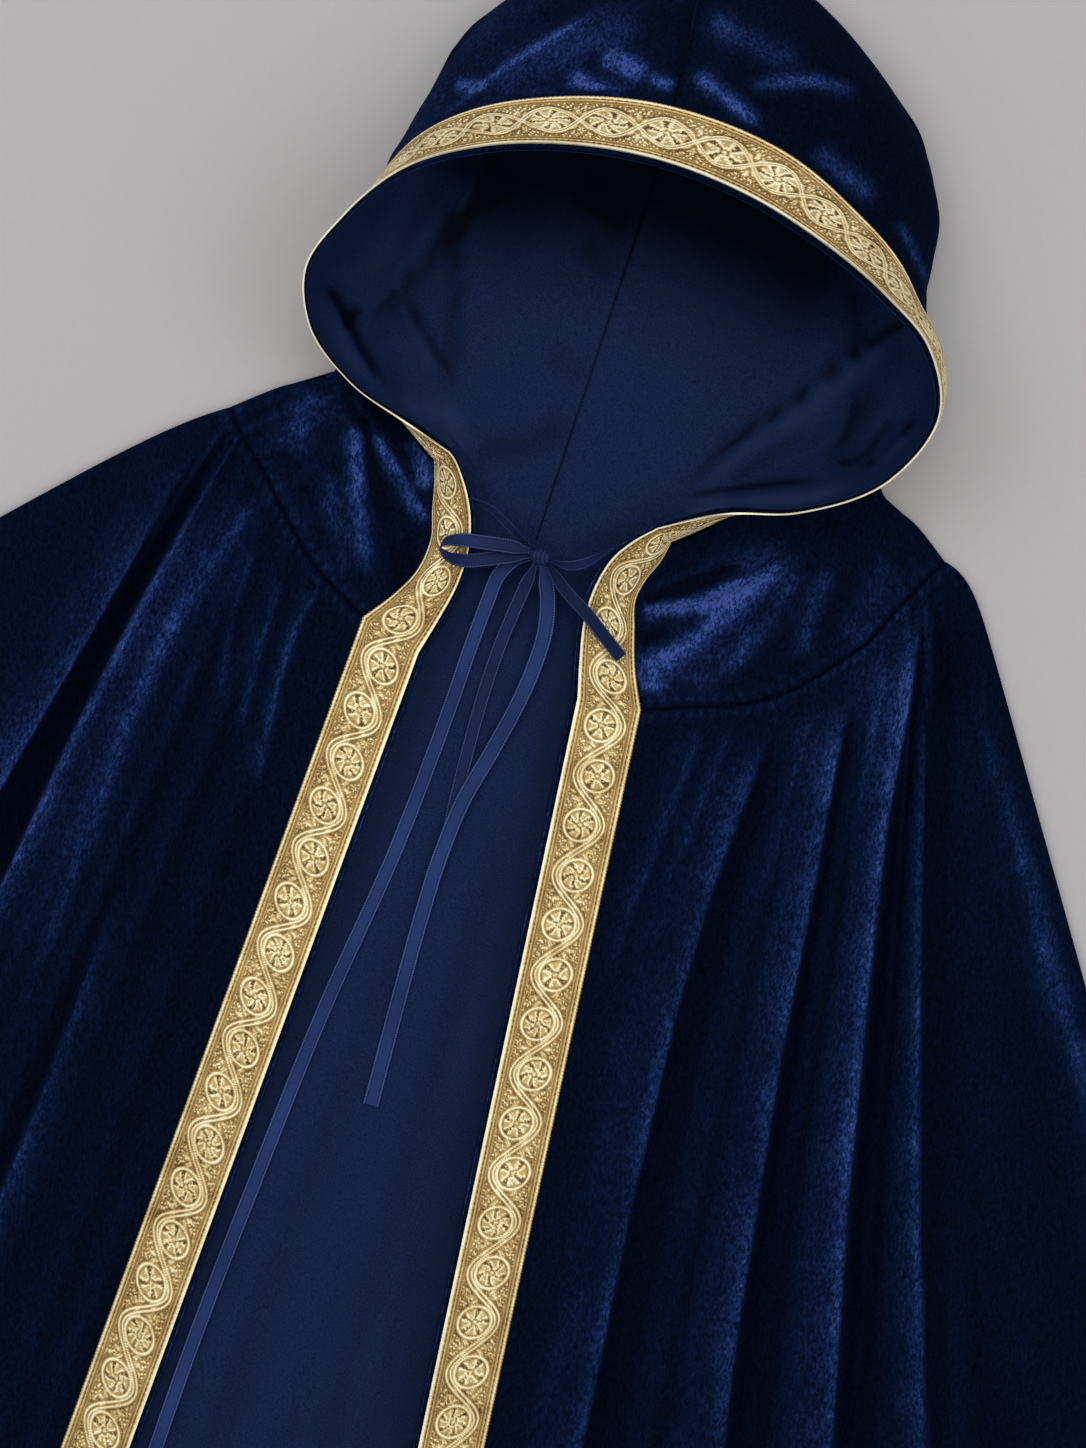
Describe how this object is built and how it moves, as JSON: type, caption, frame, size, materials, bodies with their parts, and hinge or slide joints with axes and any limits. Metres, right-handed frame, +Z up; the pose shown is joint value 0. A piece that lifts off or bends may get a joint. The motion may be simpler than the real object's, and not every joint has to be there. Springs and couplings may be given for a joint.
{
  "type": "hooded cloak",
  "caption": "Long lined velvet hooded cloak laid flat on its back, fronts parted, hood open like a bowl, with a woven gold band along its edges and a narrow ribbon tie at the neck.",
  "frame": {"origin": "on the surface the cloak lies on, under the back of the neck", "axes": "+Y runs up the garment from the hem to the hood, +X to the right of somebody looking down on it, +Z up from the surface"},
  "size_m": [1.7755, 1.6504, 0.107],
  "materials": {
    "velvet": "crushed velvet pile, dark navy",
    "lining": "satin weave lining, navy",
    "trim": "gold metallic jacquard band",
    "ribbon": "satin ribbon, navy"
  },
  "bodies": {
    "root": {"front_left": "velvet", "front_right": "velvet", "yoke_left": "velvet", "yoke_right": "velvet", "hood_left": "velvet", "hood_right": "velvet", "back": "velvet", "back_lining": "lining", "hood_lining_left": "lining", "hood_lining_right": "lining", "trim_hood_left": "trim", "trim_hood_right": "trim", "trim_front_left": "trim", "trim_front_right": "trim", "tie_left": "ribbon", "tie_right": "ribbon", "tie_loop": "ribbon", "tie_end_short": "ribbon", "tie_tail_long": "ribbon", "tie_tail_under": "ribbon", "tie_tail_over": "ribbon", "tie_knot": "ribbon"}
  },
  "joints": []
}
